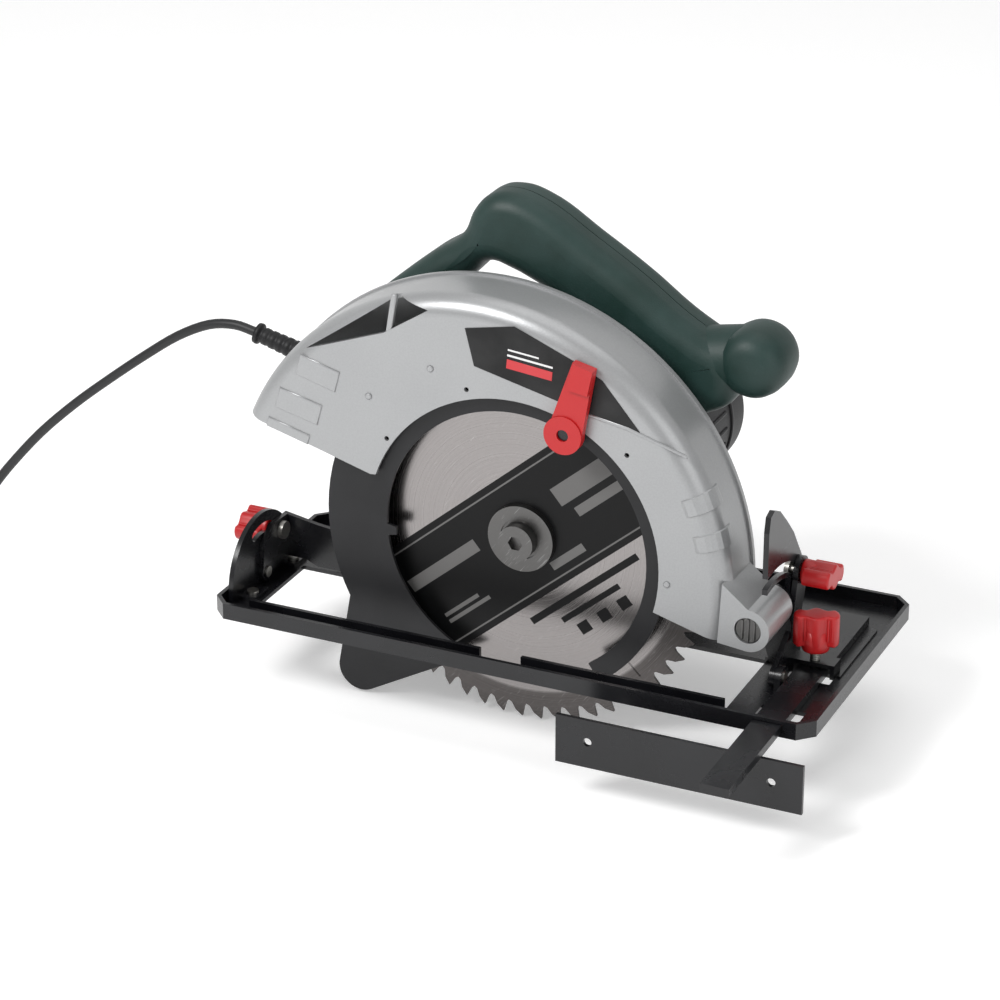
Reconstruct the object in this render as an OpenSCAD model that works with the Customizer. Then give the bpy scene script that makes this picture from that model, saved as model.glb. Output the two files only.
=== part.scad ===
// Portable circular saw: pressed base plate, cast blade guard, geared motor,
// D-handle, swinging lower guard, parallel fence and mains lead.
// X points forwards along the cut, Y to the motor side, Z up.
// The origin is the middle of the sole's underside.

/* [Blade] */
// Diameter over the blade's tooth tips
blade_d = 235; // [233:1:236]
// Number of teeth on the blade
blade_teeth = 60; // [40:2:72]
// Thickness of the blade's plate
blade_t = 1.8; // [1.6:0.1:2.4]
// How far the blade reaches below the sole as drawn
cut_depth = 51.5; // [50:0.5:53]

/* [Base plate] */
// Length of the base plate along the cut
base_l = 379; // [377:1:383]
// Width of the base plate
base_w = 178; // [177:1:182]
// Height of the turned-up rim
rim_h = 10; // [9.5:0.5:11]
// Thickness of the pressed sheet
sheet = 2.5; // [2:0.1:2.8]

/* [Guards] */
// Radius of the upper guard's outer rim
guard_r = 159; // [158:0.5:160]
// Radius of the round window in the upper guard
window_r = 91.6; // [90:0.2:93]
// Inner radius of the lower guard's side plate
lower_in_r = 82; // [78:1:84]

/* [Drive] */
// Gear module
gear_m = 1.25; // [1.25:0.05:1.25]
// Teeth on the motor pinion
pinion_z = 9; // [9:1:9]
// Teeth on the spindle gear
wheel_z = 41; // [41:1:41]
// Outer radius of the motor housing
motor_r = 46; // [45:0.5:46.5]
// Distance from the blade to the motor's rear end
motor_end = 180; // [176:1:190]

/* [Fence] */
// Length of the fence's guide plate
fence_l = 148; // [140:1:150]
// Height of the fence's guide plate
fence_h = 30; // [26:1:34]
// Distance between the guide plate's two screw holes
fence_hole_gap = 110; // [105:1:115]

/* [Cord] */
// Diameter of the mains lead
cord_d = 6; // [5.5:0.5:6.5]
// Radius of the stored coil at the middle of its turns
coil_r = 33; // [32:1:36]

/* [Hidden] */
$fn = 64;
eps = 0.01;
fit = 0.05;          // radial running clearance of pins and shafts
gap = 0.3;           // gap between plates that slide over each other
blade_r = blade_d / 2;
arbor = [-8.5, -37, blade_r - cut_depth];
floor_z = -blade_r + cut_depth;            // sole's underside, seen from the arbor
deck_z = floor_z + sheet;                  // top of the base plate's floor
base_x = [-181, base_l - 181];
base_y = [-52, base_w - 52];
slot_x = [-160, 142];                      // opening for blade and guards
slot_y = [-39, 28];
bevel_z = floor_z + 9;                     // height of the bevel axis
pivot = [146, -23];                        // depth pivot, as X and Z
near_y = -17.5;                            // upper guard's outer face
back_y = 25;                               // upper guard's back face
wall = 2.5;
guard_c = [-26, -11];                      // centre of the guard's rim, X and Z
rim_round = 12;
lower_out_r = 120.5;
boss_r = 19;
spindle_r = 6;
bearing_r = 14;
gear_reach = gear_m * (pinion_z + wheel_z) / 2;
motor = [gear_reach * cos(45), gear_reach * sin(45)];
case_end = 50;
cap_y = 165;
hand_y = [38, 58, 78];                     // handle's near face, split and far face
depth_arc_r = 235;
depth_a = 173;                             // clamp bolt's angle about the pivot
front_arc_r = 62.5;
front_a = 53;
rear_arc_r = 27.5;
rear_a = 47;
bolt_r = 3;
fence_x = 172;
fence_y = -78.6;
fence_arm_w = 17;
relief_start = [-154, 58];
relief_len = 52;
relief_tilt = 15;
rest_z = -52.5;                            // surface that the stored lead lies on
coil_c = [-600, 62];
coil_half = 9;
cord_route = [
    [-213, 21, 137.5], [-228, 21, 140], [-246, 21, 137], [-268, 21, 126],
    [-292, 21, 109], [-318, 21, 89], [-345, 21, 67], [-372, 21, 42],
    [-398, 21, 13], [-420, 21, -15], [-442, 21, -37], [-468, 21, -48],
    [-498, 21, -49.5], [-530, 21, -49.5], [-562, 22, -49.5], [-580, 23, -49.5]
];
tail_route = [[-639, 66, -49.5], [-639, 84, -49.5], [-640, 100, -48], [-641, 116, -44.5]];
plug_p = [-641, 116];

// ---------- helpers ----------
module at_arbor() { translate(arbor) children(); }
module sheet_y(y0, y1) { translate([0, y1, 0]) rotate([90, 0, 0]) linear_extrude(y1 - y0) children(); }
module sheet_x(x0, x1) { translate([x0, 0, 0]) rotate([90, 0, 90]) linear_extrude(x1 - x0) children(); }
module rod_y(p, r, y0, y1) { translate([p[0], y0, p[1]]) rotate([-90, 0, 0]) cylinder(r = r, h = y1 - y0); }
module rod_x(p, r, x0, x1) { translate([x0, p[0], p[1]]) rotate([0, 90, 0]) cylinder(r = r, h = x1 - x0); }
module rod_z(p, r, z0, z1) { translate([p[0], p[1], z0]) cylinder(r = r, h = z1 - z0); }
module block(a, b) { translate(a) cube([b[0] - a[0], b[1] - a[1], b[2] - a[2]]); }
function polar(r, a, c = [0, 0]) = [c[0] + r * cos(a), c[1] + r * sin(a)];

// A wedge that covers the angles from a0 to a1
module wedge(r, a0, a1) {
    steps = 6;
    polygon(concat([[0, 0]], [for (i = [0:steps]) polar(2 * r, a0 + (a1 - a0) * i / steps)]));
}

// Part of a flat ring
module arc_band(r0, r1, a0, a1) {
    intersection() {
        difference() { circle(r1, $fn = 96); circle(r0, $fn = 96); }
        wedge(r1, a0, a1);
    }
}

// An arc-shaped slot with round ends
module arc_slot(r, half, a0, a1) {
    arc_band(r - half, r + half, a0, a1);
    for (a = [a0, a1]) translate(polar(r, a)) circle(half);
}

// The base plate's outline, drawn in by d
module base_outline(d) {
    c = 9 - 0.6 * d;
    big = 43 - 0.6 * d;
    x0 = base_x[0] + d;
    x1 = base_x[1] - d;
    y0 = base_y[0] + d;
    y1 = base_y[1] - d;
    polygon([[x0 + c, y0], [x1 - c, y0], [x1, y0 + c], [x1, y1 - c], [x1 - c, y1],
             [x0 + big, y1], [x0, y1 - big], [x0, y0 + c]]);
}

// A gear with straight-flanked teeth; a tooth stands at angle a
module toothed(z, a) {
    r = gear_m * z / 2;
    root = r - 1.3 * gear_m;
    tip = r + 0.85 * gear_m;
    step = 360 / z;
    polygon([for (i = [0:z - 1]) for (p = [[-0.31, root], [-0.11, tip], [0.11, tip], [0.31, root]])
        polar(p[1], a + (i + p[0]) * step)]);
}

// ---------- base ----------
module base_plate() color("#232426") at_arbor() {
    difference() {
        union() {
            translate([0, 0, floor_z]) linear_extrude(sheet) base_outline(0);
            translate([0, 0, floor_z]) linear_extrude(rim_h)
                difference() { base_outline(0); base_outline(sheet); }
            block([slot_x[0], slot_y[0] - sheet, floor_z], [-9, slot_y[0], floor_z + rim_h]);
            block([17, slot_y[0] - sheet, floor_z], [slot_x[1], slot_y[0], floor_z + rim_h]);
            block([158.8, -6.5, floor_z], [162.6, 6.5, bevel_z]);
            rod_x([0, bevel_z], 6.5, 158.8, 162.6);
            block([186, 24, floor_z], [188, 89, deck_z + 1.2]);
        }
        block([slot_x[0], slot_y[0], floor_z - 1], [slot_x[1], slot_y[1], deck_z + 1]);
        for (y = [-36, 14]) block([159, y, floor_z - 1], [185, y + 12.5, deck_z + 1]);
        block([fence_x - 9, base_y[0] - 1, deck_z], [fence_x + 9, base_y[0] + 3, deck_z + 5.6]);
        rod_x([0, bevel_z], 3.5, 150, 170);
        rivet_shanks();
    }
}

rivet_spots = [[147, 33], [147, 44], [-168, -22], [-168, 30]];
module rivet_shanks() { for (p = rivet_spots) rod_z(p, 2, floor_z - 1, deck_z + sheet + 1); }
module quadrant_rivets() color("#8c8c8e") at_arbor() for (p = rivet_spots) {
    rod_z(p, 2, floor_z + 0.4, deck_z + sheet);
    rod_z(p, 3.6, deck_z + sheet, deck_z + sheet + 1.6);
}

module front_bevel_quadrant() color("#1d1e20") at_arbor() difference() {
    union() {
        sheet_x(151.5, 154.7) difference() {
            union() {
                translate([27, deck_z]) square([22, -8 - deck_z]);
                difference() {
                    polygon([[26, -12], [49, -8], [44, 1], [38, 9], [30, 20], [18, 32], [6, 43],
                             [-3, 47], [-9, 45], [-11, 36], [-11, -6]]);
                    translate([0, bevel_z]) circle(56, $fn = 96);
                    translate([-20, -30]) square([47, 22]);
                }
            }
            translate([0, bevel_z]) arc_slot(front_arc_r, bolt_r + gap, front_a - 4, 102);
        }
        block([141, 27, deck_z], [154.7, 49, deck_z + sheet]);
    }
    rivet_shanks();
}

module rear_bevel_quadrant() color("#1d1e20") at_arbor() difference() {
    union() {
        sheet_x(-176, -173) difference() {
            union() {
                translate([0, bevel_z]) intersection() {
                    circle(37.5, $fn = 96);
                    translate([-40, deck_z - bevel_z]) square([80, 60]);
                }
                translate([-30, deck_z]) square([68, 14]);
            }
            translate([0, bevel_z]) arc_slot(rear_arc_r, bolt_r + gap, rear_a - 6, 108);
        }
        block([-176, -30, deck_z], [-163, -12, deck_z + sheet]);
        block([-176, 22, deck_z], [-163, 38, deck_z + sheet]);
    }
    rod_x([0, bevel_z], 3.5, -180, -160);
    rivet_shanks();
}

module bevel_hinge_pins() color("#9a9a9c") at_arbor() {
    rod_x([0, bevel_z], 3.5, 154.9, 163.5);
    rod_x([0, bevel_z], 3.5, -177.2, -168.6);
}

module fence_clamp_bridge() color("#1d1e20") at_arbor() difference() {
    union() {
        for (x = [-13.5, 11]) block([fence_x + x, 20, deck_z], [fence_x + x + 2.5, 31, deck_z + 9]);
        block([fence_x - 13.5, 20, deck_z + 6.5], [fence_x + 13.5, 31, deck_z + 9]);
    }
    rod_z([fence_x, 25.5], 3 + fit, deck_z, deck_z + 12);
}

// ---------- tilting brackets ----------
module front_tilt_bracket() color("#1d1e20") at_arbor() difference() {
    union() {
        sheet_x(155.3, 158.5) {
            translate([0, bevel_z]) circle(6.2);
            polygon([[0, bevel_z - 6.2], [26, bevel_z - 5.5], [47, -8], [31, -3], [20.5, -38],
                     [-1, bevel_z + 6.1]]);
            translate(polar(front_arc_r, front_a, [0, bevel_z])) circle(9);
        }
        sheet_y(20.3, 25.3) {
            translate(pivot) circle(11);
            polygon([[136, -27], [156.5, -25], [158.5, -34], [158.5, bevel_z - 5], [146, bevel_z - 3]]);
        }
    }
    rod_x([0, bevel_z], 3.5 + fit, 150, 170);
    rod_x(polar(front_arc_r, front_a, [0, bevel_z]), bolt_r, 150, 170);
    rod_y(pivot, 6, 15, 30);
}

module rear_tilt_bracket() color("#1d1e20") at_arbor() difference() {
    union() {
        sheet_x(-172.7, -169.7) {
            translate([0, bevel_z]) circle(6.2);
            polygon([[0, bevel_z - 6], [14, bevel_z - 1.4], [27.5, bevel_z - 1.4], [27.5, -30], [8, -29],
                     [-3, -38], [-5, bevel_z + 3]]);
        }
        sheet_y(27.5, 30.5) polygon([[-172.7, bevel_z - 1.4], [-158, bevel_z - 1.4], [-150, bevel_z - 5],
                                     [-112, bevel_z - 5], [-106, -50], [-112, -38],
                                     [-150, -34], [-172.7, -30]]);
    }
    rod_x([0, bevel_z], 3.5 + fit, -180, -160);
    rod_x(polar(rear_arc_r, rear_a, [0, bevel_z]), bolt_r, -180, -160);
}

module depth_quadrant() color("#2a2b2d") at_arbor() {
    sheet_y(30.6, 33.2) {
        translate(pivot) difference() {
            arc_band(depth_arc_r - 10, depth_arc_r + 10, 150, 188.2);
            arc_slot(depth_arc_r, bolt_r + gap, 152, 186.6);
        }
        difference() {
            polygon([[-92, bevel_z - 4], [-140, bevel_z - 4], [-140, -38], [-92, -34]]);
            translate(pivot) circle(depth_arc_r + 4, $fn = 96);
        }
    }
}

module bevel_bolts() color("#8c8c8e") at_arbor() {
    f = polar(front_arc_r, front_a, [0, bevel_z]);
    r = polar(rear_arc_r, rear_a, [0, bevel_z]);
    rod_x(f, bolt_r, 150.8, 172);
    rod_x(f, 5.5, 148.4, 151.2);
    rod_x(r, bolt_r, -188, -168.5);
    rod_x(r, 5.5, -169.5, -166.5);
}

// A two-winged clamping knob along +Z with its seat at z = 0
module wing_knob(h, reach, bore, depth) {
    difference() {
        union() {
            cylinder(r1 = 8.5, r2 = 7, h = h * 0.55);
            translate([-reach, -4, 1.5]) cube([2 * reach, 8, h - 1.5]);
            translate([-reach, -5.5, h * 0.35]) cube([2 * reach, 11, h * 0.65]);
        }
        translate([0, 0, -1]) cylinder(r = bore, h = depth + 1);
    }
}

module front_bevel_knob() color("#c8282c") at_arbor() {
    f = polar(front_arc_r, front_a, [0, bevel_z]);
    translate([158.9, f[0], f[1]]) rotate([0, 90, 0]) rotate(80) wing_knob(20, 12.5, bolt_r + fit, 14);
}

module rear_bevel_knob() color("#c8282c") at_arbor() {
    r = polar(rear_arc_r, rear_a, [0, bevel_z]);
    translate([-176.4, r[0], r[1]]) rotate([0, -90, 0]) rotate(70) wing_knob(20, 11, bolt_r + fit, 13);
}

// ---------- upper guard ----------
// Half section of the guard's rim about its own axis, as radius and Y
module rim_section(d) {
    r = guard_r - d;
    k = rim_round - d;
    y0 = near_y + d;
    union() {
        translate([0, y0]) square([r - k, back_y - y0]);
        translate([0, y0 + k]) square([r, back_y - y0 - k]);
        translate([r - k, y0 + k]) circle(k);
    }
}

module guard_region() {
    polygon([[-220, 66], [-161, 50], [-90, 29.5], [-84, 30], [0, 24], [88, -23], [116, -31],
             [134, -36], [220, -36], [220, 220], [-220, 220]]);
}

module chute_window() { polygon([[-131, 101], [-74, 141], [-52, 137.5], [-80, 119.5]]); }

module upper_guard() color("#a9aaab") at_arbor() difference() {
    union() {
        intersection() {
            translate([guard_c[0], 0, guard_c[1]]) rotate([-90, 0, 0]) rotate_extrude($fn = 128) difference() {
                union() {
                    rim_section(0);
                    translate([guard_r - 2, back_y - 3]) square([3.2, 3]);
                }
                difference() {
                    rim_section(wall);
                    translate([0, back_y - wall]) square([guard_r, wall + 1]);
                }
            }
            sheet_y(near_y - 1, back_y + 1) guard_region();
        }
        sheet_y(back_y - wall, back_y) circle(33);
        rod_y([0, 0], boss_r, 12.6, back_y - wall + eps);
        rod_y(pivot, 13, near_y, 20);
        sheet_y(near_y, 20) polygon([[128, -34], [146, -36], [146, -10], [130, 3]]);
    }
    rod_y([0, 0], window_r, near_y - 1, near_y + wall + 1);
    rod_y([0, 0], bearing_r, 14, 26);
    rod_y([0, 0], 9, 10, 15);
    rod_y(pivot, 6 + fit, near_y - 1, 21);
    rod_y(pivot, 8, near_y - 1, near_y + 3.5);
    sheet_y(near_y - 3, near_y + 12) chute_window();
    for (p = [[-79, 54], [-28, 93.5], [71, 71], [80, -7.5]]) rod_y(p, 1.5, near_y - 1, near_y + wall + 1);
    rod_y(polar(depth_arc_r, depth_a, pivot), bolt_r, 20, 27);
}

module guard_label() color("#1b1c1e") at_arbor() sheet_y(near_y - 0.4, near_y)
    polygon([[-28.6, 131], [1.8, 137], [40, 121.5], [55.6, 113.5], [79, 86], [46, 93], [33, 95.5], [-23, 109]]);

module depth_pivot_pin() color("#8c8c8e") at_arbor() {
    rod_y(pivot, 6, near_y + 4, 25.3);
    rod_y(pivot, 9, 25.3, 26.7);
}

module depth_lock_bolt() color("#8c8c8e") at_arbor() {
    p = polar(depth_arc_r, depth_a, pivot);
    rod_y(p, bolt_r, back_y - wall - 1, 44);
    rod_y(p, 5, back_y - wall - 4, back_y - wall);
}

module depth_lock_lever() color("#c8282c") at_arbor() {
    p = polar(depth_arc_r, depth_a, pivot);
    difference() {
        union() {
            rod_y(p, 9, 33.6, 37.4);
            sheet_y(33.8, 37.2) polygon([[p[0] + 1, p[1] + 8.5], [p[0] - 42, p[1] + 28], [p[0] - 50, p[1] + 26],
                                         [p[0] - 50, p[1] + 18], [p[0] - 4, p[1] - 8]]);
        }
        rod_y(p, bolt_r + fit, 30, 45);
    }
}

// ---------- drive ----------
module gear_case() color("#9fa0a2") at_arbor() difference() {
    union() {
        sheet_y(back_y, case_end) { circle(30); translate(motor) circle(motor_r - 3); }
        rod_x([37, 20], 8, 60, 68);
    }
    sheet_y(back_y - 1, 41) { circle(27.6); translate(motor) circle(12); }
    rod_y([0, 0], bearing_r, 40, 48.5);
    rod_y(motor, 11, 40, case_end + 1);
    rod_x([37, 20], 4.6, 20, 70);
    rod_y(motor, 36, 44, case_end + 1);
}

module motor_housing() color("#2b2c2e") at_arbor() difference() {
    union() {
        rod_y(motor, motor_r, case_end, cap_y);
        for (s = [-1, 1]) rod_z([motor[0], 150], 8.5, motor[1] - 49, motor[1] + 49);
    }
    rod_y(motor, motor_r - 3, case_end - 1, cap_y + 1);
    rod_z([motor[0], 150], 6, motor[1] - 60, motor[1] + 60);
    for (a = [-50:20:30]) translate([motor[0], 0, motor[1]]) rotate([0, -a, 0])
        block([motor_r - 8, 56, -2.2], [motor_r + 4, 68, 2.2]);
}

module motor_end_cap() color("#2b2c2e") at_arbor() difference() {
    union() {
        rod_y(motor, motor_r, cap_y, motor_end - 4);
        translate([motor[0], motor_end - 4, motor[1]]) rotate([-90, 0, 0])
            cylinder(r1 = motor_r, r2 = motor_r - 5, h = 4);
        rod_y(motor, 14, cap_y - 6, cap_y + 1);
    }
    difference() {
        rod_y(motor, motor_r - 3, cap_y - 1, motor_end - 3);
        rod_y(motor, 14, cap_y - 8, motor_end);
    }
    rod_y(motor, 9, cap_y - 8, cap_y + 3);
    for (a = [0:30:330]) translate([motor[0], 0, motor[1]]) rotate([0, a, 0])
        block([22, motor_end - 5, -2.5], [38, motor_end + 1, 2.5]);
}

module field_stator() color("#6d6a66") at_arbor() difference() {
    rod_y(motor, motor_r - 3, 78, 126);
    rod_y(motor, 25, 77, 127);
}

module brush_caps() color("#1a1a1c") at_arbor() for (s = [0, 180]) translate([motor[0], 150, motor[1]])
    rotate([s, 0, 0]) {
        translate([0, 0, 13.6]) cylinder(r = 6, h = 35.4);
        translate([0, 0, 49]) cylinder(r = 7.5, h = 2);
    }

// A ball bearing drawn as one ring
module ring_y(p, r_out, r_in, y0, y1) { difference() { rod_y(p, r_out, y0, y1); rod_y(p, r_in, y0 - 1, y1 + 1); } }
module bearings() color("#b8b8ba") at_arbor() {
    ring_y([0, 0], bearing_r, spindle_r + fit, 14, 22);
    ring_y([0, 0], bearing_r, spindle_r + fit, 41, 48.5);
    ring_y(motor, 11, 4 + fit, 41, 48);
    ring_y(motor, 9, 4 + fit, 161, 168);
}

module armature_shaft() color("#9a9a9c") at_arbor() {
    rod_y(motor, 4, 28, 167);
    sheet_y(29, 39) translate(motor) toothed(pinion_z, 225);
}
module armature_core() color("#7a5a34") at_arbor() ring_y(motor, 23.8, 4, 80, 124);
module commutator() color("#b87333") at_arbor() ring_y(motor, 13, 4, 140, 158);
module cooling_fan() color("#303134") at_arbor() {
    ring_y(motor, 10, 4, 55, 66);
    ring_y(motor, 39, 9, 55, 57);
    for (i = [0:8]) translate([motor[0], 0, motor[1]]) rotate([0, i * 40, 0]) block([9, 56.5, -1], [38, 65.5, 1]);
}

module spindle() color("#a5a5a7") at_arbor() {
    rod_y([0, 0], spindle_r, 1, 48);
    rod_y([0, 0], 8, 1, 12);
}
module spindle_gear() color("#8f8f92") at_arbor() sheet_y(28.5, 39.5) difference() {
    toothed(wheel_z, 45 + 180 / wheel_z);
    circle(spindle_r);
}
module inner_flange() color("#77787a") at_arbor() difference() {
    rod_y([0, 0], 21, 0.9, 6);
    rod_y([0, 0], 8, 0, 7);
}
module outer_flange() color("#7b7a76") at_arbor() difference() {
    rod_y([0, 0], 20.5, -5, -0.9);
    rod_y([0, 0], 12.5, -6, -4);
    rod_y([0, 0], 4, -8, 0);
}
module arbor_bolt() color("#a79e9c") at_arbor() {
    difference() {
        rod_y([0, 0], 10.8, -12, -4);
        translate([0, -13, 0]) rotate([-90, 0, 0]) cylinder(r = 4.6, h = 5, $fn = 6);
    }
    rod_y([0, 0], 4, -4, 1);
}

// One tooth every step; the gullet lies ahead of each tip, and the teeth rise at the front
module blade_outline() {
    step = 360 / blade_teeth;
    root = blade_r - 8.5;
    polygon([for (i = [0:blade_teeth - 1])
        for (p = [[0, blade_r], [0.09, root + 2.2], [0.22, root], [0.40, root + 0.9], [0.62, blade_r - 3.4]])
            polar(p[1], (i + p[0]) * step)]);
}
module saw_blade() color("#a8a4a3") at_arbor() sheet_y(-blade_t / 2, blade_t / 2) difference() {
    blade_outline();
    circle(4);
    for (a = [45:90:315]) {
        translate(polar(blade_r - 27, a)) circle(2.6);
        rotate(a) translate([blade_r - 23.5, -0.6]) square([12, 1.2]);
    }
}

// ---------- lower guard ----------
nose_c = [-101, -102];
nose_r = 14.5;
lever_p = [34.5, 79];

// Points along an arc, about 4 degrees apart
function arc(r, a0, a1, c = [0, 0]) = let (n = ceil(abs(a1 - a0) / 4))
    [for (i = [0:n]) polar(r, a0 + (a1 - a0) * i / n, c)];

// Outer edge of the lower guard's cheeks, ending in the rounded nose below the rear
cheek_edge = concat(arc(lower_out_r, 55, 207), arc(nose_r, 168, 299, nose_c));
module near_cheek() {
    polygon(concat(arc(94.5, -55, 55), cheek_edge, arc(lower_in_r, 251, 187),
                   [[-76, -9], [-76, -4]], arc(lower_in_r, 182, -55)));
}
module far_cheek() {
    polygon(concat(cheek_edge, [[-26, -77], [4, -20], [20, 4]]));
}
module lower_guard() color("#2e2f31") at_arbor() difference() {
    union() {
        sheet_y(-12.5, -10.5) near_cheek();
        sheet_y(-11, 10) polygon(concat(arc(lower_out_r - 0.3, 56, 206), arc(lower_out_r - 1.8, 206, 56)));
        sheet_y(9.5, 12) far_cheek();
        rod_y([0, 0], 26, 9.5, 20.5);
    }
    rod_y([0, 0], boss_r + fit, 12.2, 30);
    rod_y([0, 0], 22.5, 8, 13);
    rod_y(lever_p, 2, -14, -9);
}
module guard_lever() color("#cf2a2e") at_arbor() difference() {
    union() {
        rod_y(lever_p, 11.5, -24.5, -18.9);
        sheet_y(-23.5, -18.9) polygon([[26, 84], [40, 124], [53, 121], [46, 80]]);
        sheet_y(-26, -23.4) polygon([[37, 108], [41, 124], [53, 121], [50, 106]]);
        rod_y(lever_p, 5, -19, -12.5);
    }
    rod_y(lever_p, 2, -30, -10);
    rod_y(lever_p, 3.6, -30, -21);
}
module lever_screw() color("#6c6c6e") at_arbor() {
    rod_y(lever_p, 2, -21, -10.6);
    rod_y(lever_p, 3.4, -23, -21);
}

// ---------- handle ----------
module handle_outline() {
    polygon([[-158, 47], [-160, 69], [-135, 98], [-111, 121], [-81, 146], [-58, 161], [-53, 177], [-45, 186],
             [-33, 190], [-15, 187], [20, 167.5], [51, 148.5], [76, 131], [92, 122], [110, 114], [110, 88],
             [86, 70], [64, 40], [30, -20], [-30, 6], [-60, 28], [-110, 36]]);
}
module hand_gap() {
    polygon([[-52, 139], [-88, 99], [-98, 82], [-92, 70], [-24, 66], [0, 70], [30, 82], [56, 88], [60, 94],
             [-36, 147], [-45, 146]]);
}
module handle_profile() {
    difference() {
        handle_outline();
        hand_gap();
        circle(30.5);
        translate(motor) circle(motor_r + 0.2);
    }
}
module switch_pocket(d) {
    polygon([[-12 - d, 147], [4, 162 + d], [48 + d, 137], [39.5 + d, 112], [38, 103 - d],
             [28, 100 - d], [-13 - d, 126]]);
}
module handle_half(y0, y1, pocket0, pocket1) {
    difference() {
        sheet_y(y0, y1) handle_profile();
        sheet_y(pocket0, pocket1) switch_pocket(0);
        rod_y([66, 118], 2.2, y0 - 1, y1 + 1);
        rod_y([-40, 172], 2.2, y0 - 1, y1 + 1);
        rod_y([-130, 70], 2.2, y0 - 1, y1 + 1);
        rod_y([13, 140], 4.1, hand_y[2] - 12, hand_y[2] + 1);
        translate([relief_start[0], hand_y[1], relief_start[1]]) rotate([0, -90 + relief_tilt, 0])
            translate([0, 0, -14]) cylinder(r = 7.6, h = 40);
    }
}
module handle_shell_left() color("#26423c") at_arbor() handle_half(hand_y[0], hand_y[1], 49, 59);
module handle_shell_right() color("#26423c") at_arbor() handle_half(hand_y[1], hand_y[2], 57, 67);
module front_grip() color("#26423c") at_arbor() {
    rod_y([124, 108], 23, 42, 74);
    translate([124, 36, 108]) rotate([-90, 0, 0]) cylinder(r1 = 17, r2 = 23, h = 6);
    translate([124, 74, 108]) rotate([-90, 0, 0]) cylinder(r1 = 23, r2 = 17, h = 6);
}
module housing_screws() color("#77787a") at_arbor() for (p = [[66, 118], [-40, 172], [-130, 70]]) {
    rod_y(p, 2.2, hand_y[0] + 2, hand_y[2]);
    rod_y(p, 4, hand_y[2], hand_y[2] + 1.8);
}
module strain_relief() color("#141416") at_arbor()
    translate([relief_start[0], hand_y[1], relief_start[1]]) rotate([0, -90 + relief_tilt, 0]) {
        translate([0, 0, -12]) cylinder(r = 7.6, h = 18);
        translate([0, 0, 6]) cylinder(r1 = 6.6, r2 = 5.2, h = relief_len - 6);
        translate([0, 0, relief_len - 3]) cylinder(r = 6.8, h = 3);
    }
module switch_body() color("#202022") at_arbor() sheet_y(49.4, 66.6)
    polygon([[-6, 149], [5, 160], [44, 137], [37, 124]]);
module trigger() color("#c8282c") at_arbor() sheet_y(50.5, 65.5)
    polygon([[-8, 143], [36, 118.5], [33, 110], [22, 103], [2, 117], [-10, 134]]);
module lock_off_button() color("#c8282c") at_arbor() rod_y([13, 140], 4, hand_y[2] - 7, hand_y[2] + 5);
module spindle_lock_button() color("#1a1a1c") at_arbor() {
    rod_x([37, 20], 4.5, 60, 72);
    rod_x([37, 20], 7, 72, 76);
}

// ---------- parallel fence ----------
module fence_arm() color("#1d1e20") at_arbor() difference() {
    block([fence_x - fence_arm_w / 2, -132, deck_z + 0.4], [fence_x + fence_arm_w / 2, 96, deck_z + 5.2]);
    block([fence_x - fence_arm_w / 2 + 2, -130, deck_z], [fence_x + fence_arm_w / 2 - 2, 97, deck_z + 3.2]);
}
module fence_plate() color("#232426") at_arbor() difference() {
    union() {
        sheet_y(fence_y - 1.2, fence_y + 1.2) difference() {
            translate([56, deck_z - fence_h - 2]) square([fence_l, fence_h]);
            for (x = [0, fence_hole_gap]) translate([75.5 + x, -79.3]) circle(2.6);
        }
        block([fence_x - 7, fence_y - 1.2, deck_z - 3], [fence_x + 6, fence_y + 1.2, deck_z + 0.4]);
    }
}
module fence_clamp_knob() color("#c8282c") at_arbor() {
    rod_z([fence_x, 25.5], 3, deck_z + 5.3, deck_z + 22);
    translate([fence_x, 25.5, deck_z + 15]) rotate(20) wing_knob(23, 11, 2, 2);
}

// ---------- mains lead ----------
// A round tube along the route's points
module tube(pts, d) {
    n = len(pts);
    sides = 10;
    function dir(i) = let (v = pts[min(i + 1, n - 1)] - pts[max(i - 1, 0)]) v / norm(v);
    function side_of(v) = let (s = cross(v, [0, 0, 1])) s / norm(s);
    rings = [for (i = [0:n - 1]) let (v = dir(i), s = side_of(v), u = cross(s, v))
        for (k = [0:sides - 1]) pts[i] + d / 2 * (cos(360 * k / sides) * s + sin(360 * k / sides) * u)];
    polyhedron(rings, concat(
        [[for (k = [0:sides - 1]) k]],
        [[for (k = [sides - 1:-1:0]) (n - 1) * sides + k]],
        [for (i = [0:n - 2]) for (k = [0:sides - 1]) let (m = (k + 1) % sides)
            [i * sides + k, (i + 1) * sides + k, (i + 1) * sides + m, i * sides + m]]
    ), convexity = 6);
}
module cord_tube() color("#17181a") tube(cord_route, cord_d);
module cord_tail() color("#17181a") tube(tail_route, cord_d);
module cord_coil() color("#17181a") translate([coil_c[0], coil_c[1], rest_z]) rotate_extrude()
    translate([coil_r - coil_half, 0]) square([2 * coil_half, 2 * coil_half]);
module coil_tie() color("#3a3b3d") difference() {
    block([coil_c[0] + coil_r - 11, coil_c[1] - 5, rest_z], [coil_c[0] + coil_r + 11, coil_c[1] + 5, rest_z + 20]);
    block([coil_c[0] + coil_r - 9.5, coil_c[1] - 6, rest_z - 1], [coil_c[0] + coil_r + 9.5, coil_c[1] + 6, rest_z + 18.2]);
}
module plug_body() color("#17181a") translate([plug_p[0], plug_p[1], rest_z + 18]) {
    translate([0, 0, -10]) rotate([-90, 0, 0]) cylinder(r1 = 5, r2 = 8, h = 20);
    hull() {
        translate([0, 18, -5]) rotate([-90, 0, 0]) cylinder(r = 12, h = 2, $fn = 32);
        translate([0, 34, 0]) rotate([-90, 0, 0]) cylinder(r = 18, h = 12, $fn = 32);
    }
}
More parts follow.
